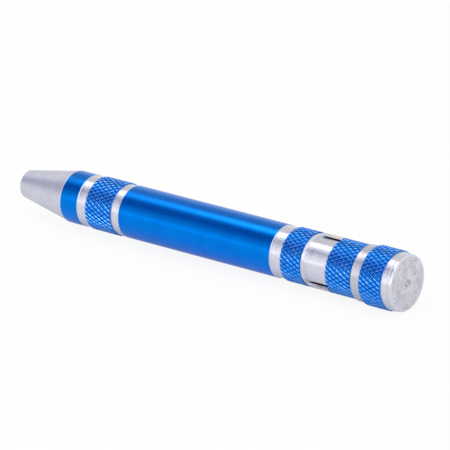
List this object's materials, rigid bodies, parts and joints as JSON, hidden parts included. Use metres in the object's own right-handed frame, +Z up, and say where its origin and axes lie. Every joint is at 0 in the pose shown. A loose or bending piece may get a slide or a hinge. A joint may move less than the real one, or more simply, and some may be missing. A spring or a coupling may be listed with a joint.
{
  "type": "pocket screwdriver",
  "caption": "Pen-sized screwdriver with a conical hexagonal bit socket, knurled barrel, spring pocket clip and a screw-off tail closing a magazine of spare bits.",
  "frame": {"origin": "centre of the bit socket's mouth, on the flat of the nose tip", "axes": "+X along the tool's axis from the nose to the tail, +Z up as it lies on a table with the clip on the +Y side, its tongue 27 degrees below the level of the axis"},
  "size_m": [0.1067, 0.0162, 0.0134],
  "materials": {
    "anodised_blue": "satin blue anodised",
    "bare_aluminium": "dull turned",
    "spring_steel": "plated strip",
    "tool_steel": "satin plated",
    "magnet": "plated",
    "rack_plastic": "moulded",
    "seal_rubber": "matte"
  },
  "bodies": {
    "barrel": {"barrel": "anodised_blue", "nose_cone": "bare_aluminium", "socket_magnet": "magnet"},
    "clip": {"pocket_clip": "spring_steel"},
    "tongue": {"clip_tongue": "spring_steel"},
    "magazine": {"bit_rack": "rack_plastic", "bit_slot_15": "tool_steel", "bit_slot_20": "tool_steel", "bit_slot_24": "tool_steel", "bit_slot_28": "tool_steel", "bit_cross_15": "tool_steel", "bit_cross_20": "tool_steel", "bit_cross_24": "tool_steel", "bit_cross_28": "tool_steel"},
    "tail_slide": {"tail_collar": "bare_aluminium", "seal_ring": "seal_rubber"},
    "tail": {"tail_plug": "bare_aluminium", "tail_grip": "anodised_blue"}
  },
  "joints": [
    {"name": "clip_turn", "type": "hinge", "parent": "barrel", "child": "clip", "pos_m": [0.0856, 0, 0], "axis": [1, 0, 0], "continuous": true},
    {"name": "clip_lift", "type": "hinge", "parent": "clip", "child": "tongue", "pos_m": [0.08223, 0.00687, -0.00347], "axis": [0, -0.4509, -0.8926], "range_deg": [0, 6], "stiffness_Nm_per_rad": 2},
    {"name": "magazine_draw", "type": "slide", "parent": "barrel", "child": "magazine", "axis": [1, 0, 0], "range_m": [0, 0.07]},
    {"name": "tail_advance", "type": "slide", "parent": "magazine", "child": "tail_slide", "axis": [1, 0, 0], "range_m": [0, 0.00376]},
    {"name": "tail_turn", "type": "hinge", "parent": "tail_slide", "child": "tail", "pos_m": [0.1, 0, 0], "axis": [1, 0, 0], "range_deg": [0, 1800]}
  ],
  "couplings": [
    {"joint": "tail_advance", "follows": "tail_turn", "m_per_rad": 0.00011937}
  ]
}
